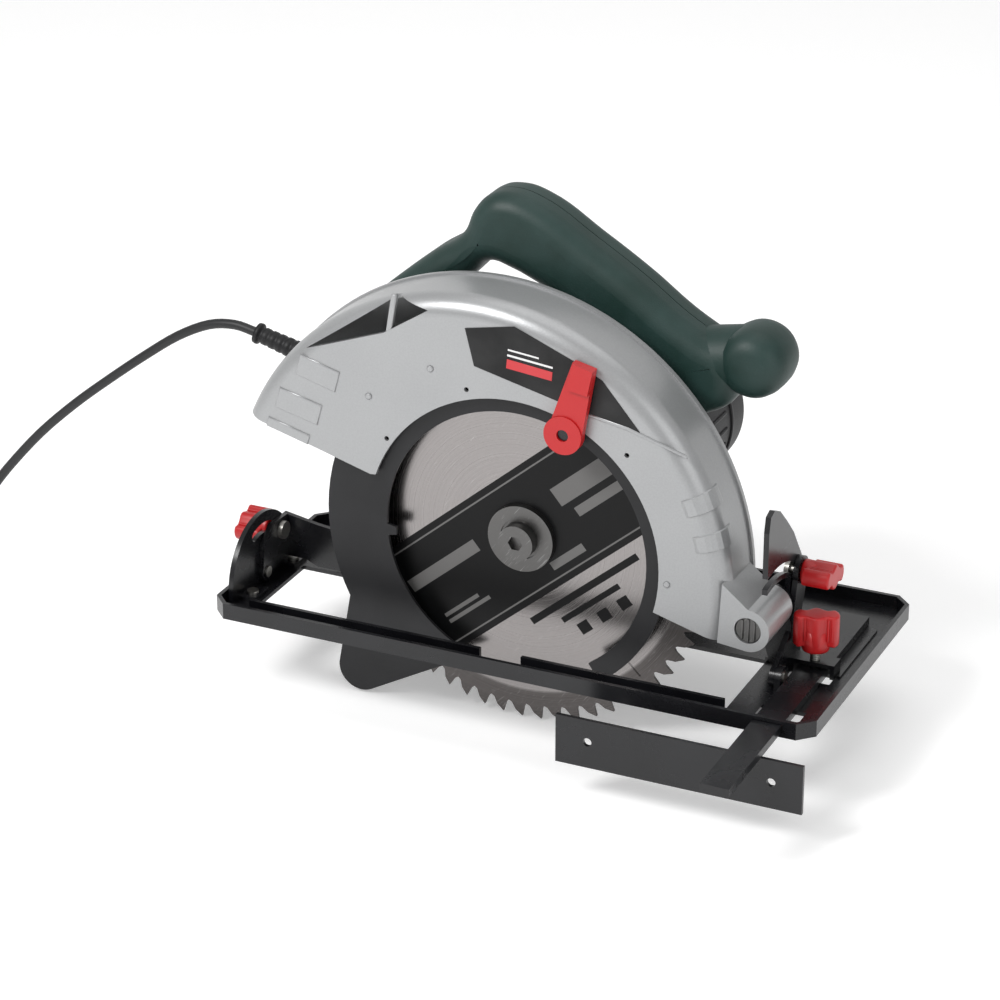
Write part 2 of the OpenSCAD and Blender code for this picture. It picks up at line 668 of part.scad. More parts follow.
module plug_pins() color("#b9b08a") for (s = [-9.5, 9.5])
    translate([plug_p[0] + s, plug_p[1] + 46, rest_z + 18]) rotate([-90, 0, 0]) cylinder(r = 2.4, h = 19);

base_plate();
front_bevel_quadrant();
rear_bevel_quadrant();
quadrant_rivets();
bevel_hinge_pins();
fence_clamp_bridge();
front_tilt_bracket();
rear_tilt_bracket();
depth_quadrant();
bevel_bolts();
front_bevel_knob();
rear_bevel_knob();
upper_guard();
guard_label();
depth_pivot_pin();
gear_case();
motor_housing();
motor_end_cap();
field_stator();
brush_caps();
handle_shell_left();
handle_shell_right();
front_grip();
housing_screws();
strain_relief();
switch_body();
trigger();
lock_off_button();
spindle_lock_button();
depth_lock_bolt();
depth_lock_lever();
bearings();
armature_shaft();
armature_core();
commutator();
cooling_fan();
spindle();
spindle_gear();
inner_flange();
saw_blade();
outer_flange();
arbor_bolt();
lower_guard();
guard_lever();
lever_screw();
fence_arm();
fence_plate();
fence_clamp_knob();
cord_tube();
cord_coil();
cord_tail();
coil_tie();
plug_body();
plug_pins();
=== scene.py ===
"""Circular saw: a handheld saw with a cast guard, closed-loop handle, bevel base and rip fence."""

import math

import bmesh
import bpy
from bpy.props import FloatProperty, FloatVectorProperty, IntProperty, PointerProperty
from mathutils import Matrix, Vector


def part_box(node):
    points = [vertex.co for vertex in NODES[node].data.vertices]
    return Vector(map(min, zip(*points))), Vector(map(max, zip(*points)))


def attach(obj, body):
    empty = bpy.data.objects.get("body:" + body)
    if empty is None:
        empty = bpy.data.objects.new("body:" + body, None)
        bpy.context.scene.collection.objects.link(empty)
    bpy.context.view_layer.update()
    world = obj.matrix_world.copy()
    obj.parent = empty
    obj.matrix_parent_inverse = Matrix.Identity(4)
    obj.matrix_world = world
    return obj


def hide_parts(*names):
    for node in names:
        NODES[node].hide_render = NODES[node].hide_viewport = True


bl_info = {
    "name": "Circular Saw",
    "version": (1, 0, 0),
    "blender": (4, 5, 0),
    "location": "View3D > Sidebar > Saw",
    "description": "Builds the finish and detail of a handheld circular saw",
    "category": "Object",
}

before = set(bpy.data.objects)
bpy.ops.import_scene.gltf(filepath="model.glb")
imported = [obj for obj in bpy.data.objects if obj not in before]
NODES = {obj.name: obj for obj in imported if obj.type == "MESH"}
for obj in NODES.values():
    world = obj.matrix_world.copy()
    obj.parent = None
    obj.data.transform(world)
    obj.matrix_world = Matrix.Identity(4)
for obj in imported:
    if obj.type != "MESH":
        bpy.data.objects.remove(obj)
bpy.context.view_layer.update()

MM = 0.001
ARBOR = Vector((-0.0085, -0.037, 0.066))  # centre of the blade, from the middle of the sole
FLOOR_Z = -0.0525
VIEW_TURN = math.radians(24.7)  # heading of the camera, which the backdrop faces

# in millimetres from the arbor
NEAR_FACE = -17.5  # flat face of the upper guard, from the blade
GUARD_AXIS = (-26.0, -11.0)
GUARD_RADIUS = 159.0
GUARD_FILLET = 12.0
HANDLE_MIDDLE = 58  # plane where the handle's halves meet
MOTOR_AXIS = (22.1, 22.1)


def at(x, y, z):
    """Point in metres from millimetres right, away and up from the arbor."""
    return ARBOR + Vector((x, y, z)) * MM


def tone(red, green, blue):
    """Scene-linear colour from the 0 to 255 values of a colour chart."""
    def linear(value):
        value /= 255
        return value / 12.92 if value <= 0.04045 else ((value + 0.055) / 1.055) ** 2.4
    return (linear(red), linear(green), linear(blue), 1.0)


# ---------- what a user would change ----------


class SawSizes(bpy.types.PropertyGroup):
    handle_round: FloatProperty(
        name="Handle rounding", description="Radius along the edges of the handle",
        default=0.0125, min=0.004, max=0.018, subtype="DISTANCE", unit="LENGTH")
    handle_seam: FloatProperty(
        name="Handle seam", description="Width of the parting line between the handle halves",
        default=0.0005, min=0.0001, max=0.002, subtype="DISTANCE", unit="LENGTH")
    edge_soft: FloatProperty(
        name="Edge softness", description="Radius broken along the edges of sheet and cast parts",
        default=0.0005, min=0.0001, max=0.002, subtype="DISTANCE", unit="LENGTH")
    cord_thick: FloatProperty(
        name="Cord thickness", description="Diameter of the mains lead",
        default=0.006, min=0.004, max=0.009, subtype="DISTANCE", unit="LENGTH")
    coil_steps: IntProperty(
        name="Coil smoothness", description="Points along each turn of the stored lead",
        default=20, min=12, max=48)
    relief_ribs: IntProperty(
        name="Sleeve rings", description="Rings moulded round the cord sleeve", default=8, min=3, max=14)
    knob_ribs: IntProperty(
        name="Knob ribs", description="Grip ribs on each face of a knob wing", default=3, min=1, max=6)


class SawColours(bpy.types.PropertyGroup):
    guard: FloatVectorProperty(
        name="Guard", description="Paint on the cast upper guard",
        default=tone(162, 163, 164), size=4, min=0, max=1, subtype="COLOR")
    grip: FloatVectorProperty(
        name="Handle", description="Soft-touch moulding of the handle",
        default=tone(18, 45, 40), size=4, min=0, max=1, subtype="COLOR")
    black: FloatVectorProperty(
        name="Black steel", description="Paint on the base, brackets and fence",
        default=tone(13, 13, 16), size=4, min=0, max=1, subtype="COLOR")
    lever: FloatVectorProperty(
        name="Levers and knobs", description="Moulded knobs, lever and trigger",
        default=tone(184, 18, 22), size=4, min=0, max=1, subtype="COLOR")
    lower: FloatVectorProperty(
        name="Lower guard", description="Finish of the swinging guard",
        default=tone(22, 22, 24), size=4, min=0, max=1, subtype="COLOR")
    blade: FloatVectorProperty(
        name="Blade", description="Ground steel of the blade",
        default=tone(150, 146, 145), size=4, min=0, max=1, subtype="COLOR")
    lead: FloatVectorProperty(
        name="Cord", description="Rubber of the lead and plug",
        default=tone(22, 23, 25), size=4, min=0, max=1, subtype="COLOR")


class SawStage(bpy.types.PropertyGroup):
    floor: FloatVectorProperty(
        name="Floor", description="Colour of the floor and backdrop",
        default=(0.86, 0.86, 0.86, 1.0), size=4, min=0, max=1, subtype="COLOR")
    key_power: FloatProperty(
        name="Key light", description="Power of the large light over the left shoulder",
        default=27.0, min=0, max=400, unit="POWER")
    fill_power: FloatProperty(
        name="Fill light", description="Power of the soft light from the right",
        default=7.0, min=0, max=400, unit="POWER")
    top_power: FloatProperty(
        name="Top light", description="Power of the soft light overhead",
        default=9.0, min=0, max=400, unit="POWER")
    sky: FloatProperty(
        name="Surround", description="Brightness of the surrounding studio", default=0.45, min=0, max=3)


def sizes():
    return bpy.context.scene.saw_sizes


def colours():
    return bpy.context.scene.saw_colours


# ---------- shared effects ----------


class Nodes:
    """Small builder for a node tree: n.add(kind, inputs) and n.link(a, b)."""

    def __init__(self, tree):
        self.tree = tree

    def add(self, kind, values=None, **settings):
        node = self.tree.nodes.new(kind)
        for key, value in settings.items():
            setattr(node, key, value)
        for key, value in (values or {}).items():
            socket = node.inputs[key]
            if isinstance(value, bpy.types.NodeSocket):
                self.tree.links.new(value, socket)
            else:
                socket.default_value = value
        return node

    def math(self, operation, a, b=0.0, c=None):
        node = self.add("ShaderNodeMath", {0: a, 1: b}, operation=operation)
        if c is not None:
            if isinstance(c, bpy.types.NodeSocket):
                self.tree.links.new(c, node.inputs[2])
            else:
                node.inputs[2].default_value = c
        return node.outputs[0]

    def mix(self, factor, a, b):
        node = self.add("ShaderNodeMix", data_type="RGBA")
        for index, value in ((0, factor), (6, a), (7, b)):
            if isinstance(value, bpy.types.NodeSocket):
                self.tree.links.new(value, node.inputs[index])
            else:
                node.inputs[index].default_value = value
        return node.outputs[2]

    def ramp(self, value, low, high, to_low=0.0, to_high=1.0):
        return self.add("ShaderNodeMapRange", {0: value, 1: low, 2: high, 3: to_low, 4: to_high}).outputs[0]


def new_group(name, inputs, outputs):
    group = bpy.data.node_groups.new(name, "ShaderNodeTree")
    for label, kind, default in inputs:
        socket = group.interface.new_socket(name=label, in_out="INPUT", socket_type=kind)
        socket.default_value = default
    for label, kind in outputs:
        group.interface.new_socket(name=label, in_out="OUTPUT", socket_type=kind)
    n = Nodes(group)
    return n, n.add("NodeGroupInput").outputs, n.add("NodeGroupOutput").inputs


def surface_group():
    """Grain, uneven tone and dust for painted, cast and moulded surfaces."""
    if "Surface" in bpy.data.node_groups:
        return bpy.data.node_groups["Surface"]
    n, given, out = new_group("Surface", [
        ("Color", "NodeSocketColor", (0.5, 0.5, 0.5, 1)),
        ("Dust Color", "NodeSocketColor", (0.5, 0.5, 0.5, 1)),
        ("Dust", "NodeSocketFloat", 0.05),
        ("Patch Size", "NodeSocketFloat", 40.0),
        ("Grain Size", "NodeSocketFloat", 1500.0),
        ("Grain", "NodeSocketFloat", 1.0),
        ("Roughness", "NodeSocketFloat", 0.5),
        ("Roughness Spread", "NodeSocketFloat", 0.1),
    ], [("Color", "NodeSocketColor"), ("Roughness", "NodeSocketFloat"), ("Height", "NodeSocketFloat")])
    place = n.add("ShaderNodeTexCoord").outputs["Object"]
    patch = n.add("ShaderNodeTexNoise", {
        "Vector": place, "Scale": given["Patch Size"], "Detail": 5.0}).outputs["Fac"]
    grain = n.add("ShaderNodeTexNoise", {
        "Vector": place, "Scale": given["Grain Size"], "Detail": 2.0}).outputs["Fac"]
    uneven = n.ramp(patch, 0.35, 0.7)
    specks = n.ramp(grain, 0.35, 0.65)
    tinted = n.mix(n.math("MULTIPLY", uneven, given["Dust"]), given["Color"], given["Dust Color"])
    darker = n.mix(n.math("MULTIPLY", specks, 0.12), tinted, n.mix(0.5, tinted, (0, 0, 0, 1)))
    n.tree.links.new(darker, out["Color"])
    from_middle = n.math("SUBTRACT", patch, 0.5)
    rough = n.math("MULTIPLY_ADD", from_middle, given["Roughness Spread"], given["Roughness"])
    n.tree.links.new(rough, out["Roughness"])
    n.tree.links.new(n.math("MULTIPLY", grain, given["Grain"]), out["Height"])
    return n.tree


def scratch_group():
    """Thin random scratches, as a mask, for bare metal."""
    if "Scratches" in bpy.data.node_groups:
        return bpy.data.node_groups["Scratches"]
    n, given, out = new_group("Scratches", [
        ("Size", "NodeSocketFloat", 60.0),
        ("Stretch", "NodeSocketFloat", 30.0),
        ("Amount", "NodeSocketFloat", 0.5),
    ], [("Mask", "NodeSocketFloat")])
    place = n.add("ShaderNodeTexCoord").outputs["Object"]
    tilted = n.add("ShaderNodeMapping", {"Vector": place, "Rotation": (0.3, 0.9, 0.2)}).outputs[0]
    split = n.add("ShaderNodeSeparateXYZ", {0: tilted}).outputs
    thin = n.add("ShaderNodeCombineXYZ", {0: split[0], 1: n.math("MULTIPLY", split[1], given["Stretch"]),
                                          2: n.math("MULTIPLY", split[2], given["Stretch"])}).outputs[0]
    lines = n.add("ShaderNodeTexNoise", {
        "Vector": thin, "Scale": given["Size"], "Detail": 3.0}).outputs["Fac"]
    mask = n.ramp(lines, 0.62, 0.75)
    n.tree.links.new(n.math("MULTIPLY", mask, given["Amount"]), out["Mask"])
    return n.tree


def start_material(name, metallic=0.0, coat=0.0, coat_rough=0.2, specular=0.5, bump=0.1):
    material = bpy.data.materials.new(name)
    material.use_nodes = True
    tree = material.node_tree
    tree.nodes.clear()
    n = Nodes(tree)
    shader = n.add("ShaderNodeBsdfPrincipled", {
        "Metallic": metallic, "Coat Weight": coat, "Coat Roughness": coat_rough, "Specular IOR Level": specular})
    out = n.add("ShaderNodeOutputMaterial")
    tree.links.new(shader.outputs[0], out.inputs["Surface"])
    relief = n.add("ShaderNodeBump", {"Strength": bump, "Distance": 0.0002})
    tree.links.new(relief.outputs[0], shader.inputs["Normal"])
    return material, n, shader, relief


def coated(name, color, rough, grain=1500.0, depth=1.0, bump=0.15, dust=0.06, dust_color=None,
           patch=40.0, spread=0.12, metallic=0.0, coat=0.0, coat_rough=0.2, specular=0.5, sheen=0.0):
    """Material of one finish with grain, uneven tone and a little dust."""
    if name in bpy.data.materials:
        return bpy.data.materials[name]
    material, n, shader, relief = start_material(name, metallic, coat, coat_rough, specular, bump)
    if sheen:
        shader.inputs["Sheen Weight"].default_value = sheen
        shader.inputs["Sheen Roughness"].default_value = 0.4
    effect = n.add("ShaderNodeGroup", node_tree=surface_group())
    look = {
        "Color": color, "Dust Color": dust_color or (0.6, 0.6, 0.6, 1), "Dust": dust, "Patch Size": patch,
        "Grain Size": grain, "Grain": depth, "Roughness": rough, "Roughness Spread": spread}
    for key, value in look.items():
        effect.inputs[key].default_value = value
    n.tree.links.new(effect.outputs["Color"], shader.inputs["Base Color"])
    n.tree.links.new(effect.outputs["Roughness"], shader.inputs["Roughness"])
    n.tree.links.new(effect.outputs["Height"], relief.inputs["Height"])
    return material


def bare_metal(name, color, rough, scratches=0.4, bump=0.12, spread=0.15, size=60.0):
    """Bare or plated metal with fine scratches."""
    if name in bpy.data.materials:
        return bpy.data.materials[name]
    material, n, shader, relief = start_material(name, metallic=1.0, bump=bump)
    effect = n.add("ShaderNodeGroup", node_tree=surface_group())
    look = {
        "Color": color, "Dust Color": (0.2, 0.2, 0.2, 1), "Dust": 0.15, "Patch Size": 70.0,
        "Grain Size": 2500.0, "Grain": 0.6, "Roughness": rough, "Roughness Spread": spread}
    for key, value in look.items():
        effect.inputs[key].default_value = value
    scratched = n.add("ShaderNodeGroup", {"Size": size, "Amount": scratches}, node_tree=scratch_group())
    marks = scratched.outputs["Mask"]
    n.tree.links.new(n.mix(marks, effect.outputs["Color"], (0.75, 0.75, 0.75, 1)), shader.inputs["Base Color"])
    smoother = n.math("MULTIPLY_ADD", marks, -0.12, effect.outputs["Roughness"])
    n.tree.links.new(smoother, shader.inputs["Roughness"])
    n.tree.links.new(effect.outputs["Height"], relief.inputs["Height"])
    return material


def guard_paint():
    return coated("Guard silver", tuple(colours().guard), 0.36, grain=900, depth=1.0, bump=0.2, dust=0.08,
                  dust_color=(0.25, 0.25, 0.26, 1), patch=25, spread=0.08, metallic=0.45,
                  coat=0.35, coat_rough=0.22)


def grip_rubber():
    return coated("Handle soft-touch", tuple(colours().grip), 0.5, grain=1100, depth=1.0, bump=0.5, dust=0.1,
                  dust_color=(0.08, 0.15, 0.15, 1), patch=45, specular=0.45)


def black_steel():
    return coated("Black painted steel", tuple(colours().black), 0.27, grain=1300, depth=1.0, bump=0.1,
                  dust=0.05, dust_color=(0.08, 0.085, 0.1, 1), patch=30, specular=0.5)


def lower_black():
    return coated("Lower guard black", tuple(colours().lower), 0.4, grain=1100, bump=0.12, dust=0.06,
                  dust_color=(0.1, 0.1, 0.11, 1), patch=35, specular=0.35)


def red_moulding():
    return coated("Red moulding", tuple(colours().lever), 0.42, grain=2200, depth=0.8, bump=0.12, dust=0.06,
                  dust_color=(0.4, 0.06, 0.06, 1), patch=60, coat=0.1)


def black_plastic():
    return coated("Black moulding", tone(20, 20, 22), 0.5, grain=1800, bump=0.2, dust=0.05, specular=0.35,
                  dust_color=(0.1, 0.1, 0.1, 1), patch=35)


def lead_rubber():
    return coated("Lead rubber", tuple(colours().lead), 0.5, grain=2600, bump=0.15, dust=0.05,
                  dust_color=(0.1, 0.1, 0.1, 1), patch=30)


def label_ink(name, color, rough, dust, specular=0.5):
    return coated(name, color, rough, grain=3000, bump=0.03, dust=dust, specular=specular)


def zinc():
    return bare_metal("Zinc plate", tone(176, 174, 168), 0.34)


def dark_steel():
    return bare_metal("Dark steel", tone(104, 103, 102), 0.4, scratches=0.25)


def laminate():
    return bare_metal("Laminations", tone(120, 118, 115), 0.5, scratches=0.15)


def copper():
    return bare_metal("Copper", tone(190, 110, 70), 0.35, scratches=0.2)


def finish_nodes(material, *names):
    """Gives CAD parts their finish."""
    for name in names:
        obj = NODES[name]
        for index in range(len(obj.material_slots)):
            obj.material_slots[index].material = material
        if not obj.material_slots:
            obj.data.materials.append(material)


def soften(*names, factor=1.0, segments=2):
    """Breaks the hard edges of CAD parts."""
    for name in names:
        obj = NODES[name]
        edge = obj.modifiers.new("Broken edge", "BEVEL")
        edge.width = sizes().edge_soft * factor
        edge.segments = segments
        edge.limit_method = "ANGLE"
        edge.angle_limit = math.radians(40)
        edge.harden_normals = False


# ---------- making shapes ----------


def add_piece(name, body, mesh, material, replaces=(), smooth=True):
    obj = bpy.data.objects.new(name, mesh)
    bpy.context.collection.objects.link(obj)
    if material is not None:
        mesh.materials.clear()
        mesh.materials.append(material)
    if smooth:
        mesh.shade_smooth()
    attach(obj, body)
    if replaces:
        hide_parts(*replaces)
    return obj


def mesh_from(bm, name):
    bmesh.ops.recalc_face_normals(bm, faces=bm.faces)
    mesh = bpy.data.meshes.new(name)
    bm.to_mesh(mesh)
    bm.free()
    return mesh


def basis(origin, u, v, w):
    """Matrix that takes local x, y, z to the directions u, v, w at origin."""
    rows = Matrix((u, v, w)).transposed().to_4x4()
    rows.translation = origin
    return rows


def side_view(y):
    """Matrix that stands a plan drawn in x and z upright at that distance from the blade."""
    return basis(at(0, y, 0), Vector((1, 0, 0)), Vector((0, 0, 1)), Vector((0, -1, 0)))


def plate(bm, loops, half, rounding, matrix, smooth=True, steps=6, resolution=6):
    """Adds a plate of closed outlines in millimetres, rounded along its edges, to the mesh."""
    curve = bpy.data.curves.new("outline", "CURVE")
    curve.dimensions = "2D"
    curve.fill_mode = "BOTH"
    curve.extrude = max(half - rounding, 0) * MM
    curve.bevel_depth = rounding * MM
    curve.bevel_resolution = steps
    curve.offset = -rounding * MM
    curve.resolution_u = resolution
    for loop in loops:
        if smooth:
            spline = curve.splines.new("BEZIER")
            spline.bezier_points.add(len(loop) - 1)
            for point, (x, y) in zip(spline.bezier_points, loop):
                point.co = (x * MM, y * MM, 0)
                point.handle_left_type = point.handle_right_type = "AUTO"
        else:
            spline = curve.splines.new("POLY")
            spline.points.add(len(loop) - 1)
            for point, (x, y) in zip(spline.points, loop):
                point.co = (x * MM, y * MM, 0, 1)
        spline.use_cyclic_u = True
    carrier = bpy.data.objects.new("outline", curve)
    bpy.context.collection.objects.link(carrier)
    bpy.context.view_layer.update()
    shaped = carrier.evaluated_get(bpy.context.evaluated_depsgraph_get())
    flat = bpy.data.meshes.new_from_object(shaped)
    flat.transform(matrix)
    bm.from_mesh(flat)
    bpy.data.objects.remove(carrier)
    bpy.data.curves.remove(curve)
    bpy.data.meshes.remove(flat)
    return bm


def turned(bm, profile, origin, axis, steps=48):
    """Adds a turned form: pairs of radius and distance along the axis, in millimetres."""
    axis = axis.normalized()
    side = axis.orthogonal().normalized()
    other = axis.cross(side)
    rings = []
    for radius, along in profile:
        centre = origin + axis * along * MM
        if radius < 1e-6:
            rings.append([bm.verts.new(centre)])
        else:
            rings.append([bm.verts.new(centre + (side * math.cos(t) + other * math.sin(t)) * radius * MM)
                          for t in (2 * math.pi * k / steps for k in range(steps))])
    for low, high in zip(rings, rings[1:]):
        for k in range(steps):
            j = (k + 1) % steps
            corners = [low[k % len(low)], low[j % len(low)], high[j % len(high)], high[k % len(high)]]
            corners = list(dict.fromkeys(corners))
            if len(corners) > 2:
                bm.faces.new(corners)
    return bm


def rounded_ends(radius, y0, y1, corner, steps=5):
    """Profile of a rod with rounded ends, for turned()."""
    arc = [(corner * math.sin(math.pi / 2 * k / steps), corner * (1 - math.cos(math.pi / 2 * k / steps)))
           for k in range(steps + 1)]
    near = [(0, y0)] + [(radius - corner + a, y0 + b) for a, b in arc]
    far = [(radius - corner + a, y1 - b) for a, b in reversed(arc)] + [(0, y1)]
    return near + far


# ---------- steps, one for each piece ----------


class SAW_OT_stage(bpy.types.Operator):
    """Builds the pale floor, the studio lights and the camera"""
    bl_idname = "saw.stage"
    bl_label = "Stage and Camera"

    def execute(self, context):
        stage = context.scene.saw_stage
        floor, n, shader, _ = start_material("Studio floor", bump=0.0)
        cloudy = n.add("ShaderNodeTexNoise", {"Scale": 1.5, "Detail": 1.0}).outputs["Fac"]
        dim = tuple(c * 0.985 for c in stage.floor[:3]) + (1.0,)
        n.tree.links.new(n.mix(cloudy, tuple(stage.floor), dim), shader.inputs["Base Color"])
        shader.inputs["Roughness"].default_value = 0.8
        shader.inputs["Emission Color"].default_value = (1, 1, 1, 1)
        shader.inputs["Emission Strength"].default_value = 0.3
        bm = bmesh.new()
        front, back, top, bend, half_width = -3.0, 3.5, 4.5, 1.2, 7
        rise = [(back + bend * math.sin(math.radians(a)), bend - bend * math.cos(math.radians(a)))
                for a in range(10, 91, 10)]
        profile = [(front, 0.0), (back, 0.0)] + rise + [(back + bend, top)]
        rows = [[bm.verts.new((x, y, FLOOR_Z + z)) for x in (-half_width, half_width)] for y, z in profile]
        for low, high in zip(rows, rows[1:]):
            bm.faces.new((low[0], low[1], high[1], high[0]))
        sweep = bpy.data.objects.new("studio_sweep", mesh_from(bm, "studio_sweep"))
        sweep.data.materials.append(floor)
        sweep.data.shade_smooth()
        context.collection.objects.link(sweep)
        sweep.rotation_euler = (0, 0, VIEW_TURN)

        world = bpy.data.worlds.new("Studio")
        world.use_nodes = True
        surround = world.node_tree.nodes["Background"]
        surround.inputs["Color"].default_value = (1, 1, 1, 1)
        surround.inputs["Strength"].default_value = stage.sky
        context.scene.world = world
        for name, power, place, aim, spread in (
                ("Key", stage.key_power, (-0.75, -1.3, 1.5), (0, 0, 0.1), 0.6),
                ("Fill", stage.fill_power, (1.5, -0.9, 0.8), (0, 0, 0.1), 1.3),
                ("Top", stage.top_power, (0.1, 0.35, 1.9), (0, 0, 0), 1.6)):
            light = bpy.data.lights.new(name, "AREA")
            light.energy = power
            light.size = spread
            lamp = bpy.data.objects.new(name, light)
            lamp.location = place
            lamp.rotation_euler = (Vector(aim) - Vector(place)).to_track_quat("-Z", "Y").to_euler()
            context.collection.objects.link(lamp)

        camera = bpy.data.cameras.new("Camera")
        camera.lens = 124.45
        camera.sensor_width = 36.0
        camera.clip_start = 0.05
        viewer = bpy.data.objects.new("Camera", camera)
        viewer.location = (0.7363, -1.6890, 0.9187)
        viewer.rotation_euler = (math.radians(65.393), 0, VIEW_TURN)
        context.collection.objects.link(viewer)
        context.scene.camera = viewer
        context.scene.view_settings.view_transform = "Standard"
        return {"FINISHED"}


def flowing(points, parts=4):
    """Points along a smooth curve through the given points."""
    ends = [points[0] * 2 - points[1], *points, points[-1] * 2 - points[-2]]
    out = []
    for a, b, c, d in zip(ends, ends[1:], ends[2:], ends[3:]):
        for k in range(parts):
            t = k / parts
            out.append(0.5 * (2 * b + (c - a) * t + (2 * a - 5 * b + 4 * c - d) * t ** 2
                              + (3 * b - a - 3 * c + d) * t ** 3))
    return out + [points[-1]]


class SAW_OT_cord(bpy.types.Operator):
    """Lays the mains lead out of the handle, coils its spare length and ends it in the plug"""
    bl_idname = "saw.cord"
    bl_label = "Cord and Plug"

    def execute(self, context):
        run = [Vector(p) * MM for p in (
            (-213, 21, 137.5), (-228, 21, 140), (-246, 21, 137), (-268, 21, 126), (-292, 21, 109),
            (-318, 21, 89), (-345, 21, 67), (-372, 21, 42), (-398, 21, 13), (-420, 21, -15),
            (-442, 21, -37), (-468, 21, -48), (-498, 21, -49.5), (-530, 21, -49.5), (-562, 22, -49.5),
            (-580, 23, -49.5), (-600, 23, -49.5))]
        centre = Vector((-0.600, 0.062, 0))
        steps = sizes().coil_steps
        # three turns inwards, three outwards a layer up, and three inwards on top
        tracks = (39, 33, 27, 27, 33, 39, 39, 33, 27, 27)
        layers = (-49.5, -49.5, -49.5, -43.5, -43.5, -43.5, -37.5, -37.5, -37.5, -37.5)
        count = len(tracks) - 1
        crossover = 0.22  # last part of each turn, where it moves over to the next track
        turns = []
        for k in range(count * steps + 1):
            whole, part = divmod(k / steps, 1.0)
            whole = int(whole)
            if whole == count:
                whole, part = count - 1, 1.0
            shift = max(part - (1 - crossover), 0) / crossover
            shift = shift * shift * (3 - 2 * shift)
            radius = (tracks[whole] + (tracks[whole + 1] - tracks[whole]) * shift) * MM
            height = (layers[whole] + (layers[whole + 1] - layers[whole]) * shift) * MM
            angle = math.radians(-90) - 2 * math.pi * k / steps
            turns.append(centre + Vector((radius * math.cos(angle), radius * math.sin(angle), height)))
        # the end lifts over the top turns in a long low hump and comes down to the plug
        leave = [Vector(p) * MM for p in (
            (-610.4, 36.4, -36.6), (-620, 40.4, -33.6), (-628.3, 46.7, -31.6), (-634.6, 55, -31.2),
            (-638.6, 64.6, -31.8), (-640.2, 75, -34), (-640.4, 85, -37.5), (-640.6, 95, -41),
            (-640.8, 105.5, -43.6), (-641, 116, -44.5))]
        points = flowing(run) + turns[1:] + leave
        curve = bpy.data.curves.new("mains_lead", "CURVE")
        curve.dimensions = "3D"
        curve.bevel_depth = sizes().cord_thick / 2
        curve.bevel_resolution = 3
        curve.resolution_u = 3
        curve.use_fill_caps = True
        spline = curve.splines.new("POLY")
        spline.points.add(len(points) - 1)
        for point, place in zip(spline.points, points):
            point.co = (*place, 1)
        lead = bpy.data.objects.new("mains_lead", curve)
        context.collection.objects.link(lead)
        curve.materials.append(lead_rubber())
        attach(lead, "saw_unit")
        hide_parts("cord_tube", "cord_coil", "cord_tail")
        finish_nodes(black_plastic(), "coil_tie")
        finish_nodes(lead_rubber(), "plug_body")
        finish_nodes(zinc(), "plug_pins")
        soften("plug_body", factor=2.0, segments=3)
        return {"FINISHED"}


class SAW_OT_cord_sleeve(bpy.types.Operator):
    """Builds the ringed, tapered sleeve where the lead leaves the handle"""
    bl_idname = "saw.cord_sleeve"
    bl_label = "Cord Sleeve"

    def execute(self, context):
        end = Vector((-0.2127, 0.021, 0.1375))
        start = at(-154, 58, 58)
        axis = (end - start).normalized()
        reach = (end - start).length / MM
        rings = sizes().relief_ribs
        profile = [(0, -10), (7.4, -10), (7.4, 5), (7.0, 6)]
        pitch = (reach - 10) / rings
        for k in range(rings):
            base = 7 + k * pitch
            radius = 6.6 - 1.4 * k / rings
            groove = radius - 0.5
            profile += [(radius, base), (radius, base + pitch * 0.5), (groove, base + pitch * 0.62),
                        (groove, base + pitch * 0.9)]
        profile += [(6.4, reach - 3), (6.7, reach - 2), (6.4, reach - 0.2), (3.2, reach)]
        profile.append((0, reach))
        bm = turned(bmesh.new(), profile, start, axis, 32)
        add_piece("cord_sleeve", "saw_unit", mesh_from(bm, "cord_sleeve"), black_plastic(),
                  ["strain_relief"])
        return {"FINISHED"}


